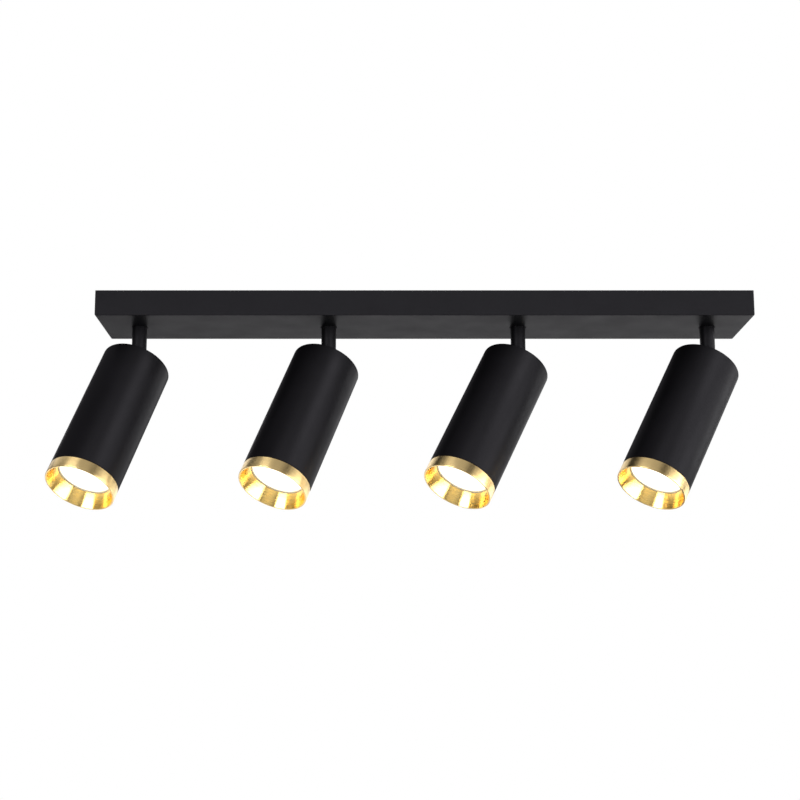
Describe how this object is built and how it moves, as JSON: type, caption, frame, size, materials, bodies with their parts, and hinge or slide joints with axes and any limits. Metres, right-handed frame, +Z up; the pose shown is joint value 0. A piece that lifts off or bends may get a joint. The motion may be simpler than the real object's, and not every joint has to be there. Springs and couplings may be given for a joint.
{
  "type": "ceiling spotlight bar",
  "caption": "Long shallow ceiling canopy with short turning stems that each carry a tilting cylinder spotlight with a recessed reflector ring and a frosted lamp.",
  "frame": {"origin": "middle of the ceiling plane, where the bracket and the canopy's rim meet the ceiling", "axes": "+Z up into the ceiling, X along the bar, -Y the side that the heads face at a pan of zero"},
  "size_m": [0.6006, 0.1296, 0.1895],
  "materials": {
    "black_powder_coat": "satin",
    "black_aluminium": "satin",
    "gold_aluminium": "polished",
    "zinc_steel": "satin",
    "black_screw": "satin",
    "black_nylon": "matte",
    "white_nylon": "matte",
    "brass": "satin",
    "brown_insulation": "satin",
    "blue_insulation": "satin",
    "earth_insulation": "satin",
    "white_ceramic": "matte",
    "lamp_plastic": "satin",
    "frosted_lens": "matte",
    "glass_sleeve": "matte"
  },
  "bodies": {
    "bar": {"canopy": "black_powder_coat", "ceiling_bracket": "zinc_steel", "cover_screws": "black_screw", "swivel_bushes": "black_nylon", "terminal_block": "white_nylon", "terminal_screws": "brass", "panel_screws": "zinc_steel", "live_leads": "brown_insulation", "neutral_leads": "blue_insulation", "earth_lead": "earth_insulation"},
    "stem_1": {"stem_1": "black_powder_coat", "stem_nut_1": "zinc_steel"},
    "head_1": {"pivot_screws_1": "black_screw", "end_cap_1": "black_aluminium", "casing_1": "black_aluminium", "m3_screws_1": "zinc_steel", "holder_bracket_1": "zinc_steel", "lampholder_1": "white_ceramic", "lamp_body_1": "lamp_plastic", "lamp_lens_1": "frosted_lens", "head_leads_1": "glass_sleeve"},
    "ring_1": {"front_ring_1": "gold_aluminium"},
    "stem_2": {"stem_2": "black_powder_coat", "stem_nut_2": "zinc_steel"},
    "head_2": {"pivot_screws_2": "black_screw", "end_cap_2": "black_aluminium", "casing_2": "black_aluminium", "m3_screws_2": "zinc_steel", "holder_bracket_2": "zinc_steel", "lampholder_2": "white_ceramic", "lamp_body_2": "lamp_plastic", "lamp_lens_2": "frosted_lens", "head_leads_2": "glass_sleeve"},
    "ring_2": {"front_ring_2": "gold_aluminium"},
    "stem_3": {"stem_3": "black_powder_coat", "stem_nut_3": "zinc_steel"},
    "head_3": {"pivot_screws_3": "black_screw", "end_cap_3": "black_aluminium", "casing_3": "black_aluminium", "m3_screws_3": "zinc_steel", "holder_bracket_3": "zinc_steel", "lampholder_3": "white_ceramic", "lamp_body_3": "lamp_plastic", "lamp_lens_3": "frosted_lens", "head_leads_3": "glass_sleeve"},
    "ring_3": {"front_ring_3": "gold_aluminium"},
    "stem_4": {"stem_4": "black_powder_coat", "stem_nut_4": "zinc_steel"},
    "head_4": {"pivot_screws_4": "black_screw", "end_cap_4": "black_aluminium", "casing_4": "black_aluminium", "m3_screws_4": "zinc_steel", "holder_bracket_4": "zinc_steel", "lampholder_4": "white_ceramic", "lamp_body_4": "lamp_plastic", "lamp_lens_4": "frosted_lens", "head_leads_4": "glass_sleeve"},
    "ring_4": {"front_ring_4": "gold_aluminium"}
  },
  "joints": [
    {"name": "pan_1", "type": "hinge", "parent": "bar", "child": "stem_1", "pos_m": [-0.2505, 0, -0.022], "axis": [0, 0, -1], "range_deg": [-196, 134]},
    {"name": "tilt_1", "type": "hinge", "parent": "stem_1", "child": "head_1", "pos_m": [-0.2505, 0, -0.0522], "axis": [-0.8572, 0.515, 0], "range_deg": [-30, 55]},
    {"name": "ring_1_pull", "type": "slide", "parent": "head_1", "child": "ring_1", "axis": [-0.2575, -0.4286, -0.866], "range_m": [0, 0.03]},
    {"name": "pan_2", "type": "hinge", "parent": "bar", "child": "stem_2", "pos_m": [-0.0835, 0, -0.022], "axis": [0, 0, -1], "range_deg": [-78, 127]},
    {"name": "tilt_2", "type": "hinge", "parent": "stem_2", "child": "head_2", "pos_m": [-0.0835, 0, -0.0522], "axis": [-0.788, 0.6157, 0], "range_deg": [-30.5, 54.5]},
    {"name": "ring_2_pull", "type": "slide", "parent": "head_2", "child": "ring_2", "axis": [-0.3125, -0.3999, -0.8616], "range_m": [0, 0.03]},
    {"name": "pan_3", "type": "hinge", "parent": "bar", "child": "stem_3", "pos_m": [0.0835, 0, -0.022], "axis": [0, 0, -1], "range_deg": [-90, 115]},
    {"name": "tilt_3", "type": "hinge", "parent": "stem_3", "child": "head_3", "pos_m": [0.0835, 0, -0.0522], "axis": [-0.6428, 0.766, 0], "range_deg": [-32, 53]},
    {"name": "ring_3_pull", "type": "slide", "parent": "head_3", "child": "ring_3", "axis": [-0.4059, -0.3406, -0.848], "range_m": [0, 0.03]},
    {"name": "pan_4", "type": "hinge", "parent": "bar", "child": "stem_4", "pos_m": [0.2505, 0, -0.022], "axis": [0, 0, -1], "range_deg": [-220, 110]},
    {"name": "tilt_4", "type": "hinge", "parent": "stem_4", "child": "head_4", "pos_m": [0.2505, 0, -0.0522], "axis": [-0.5736, 0.8192, 0], "range_deg": [-32, 53]},
    {"name": "ring_4_pull", "type": "slide", "parent": "head_4", "child": "ring_4", "axis": [-0.4341, -0.3039, -0.848], "range_m": [0, 0.03]}
  ]
}
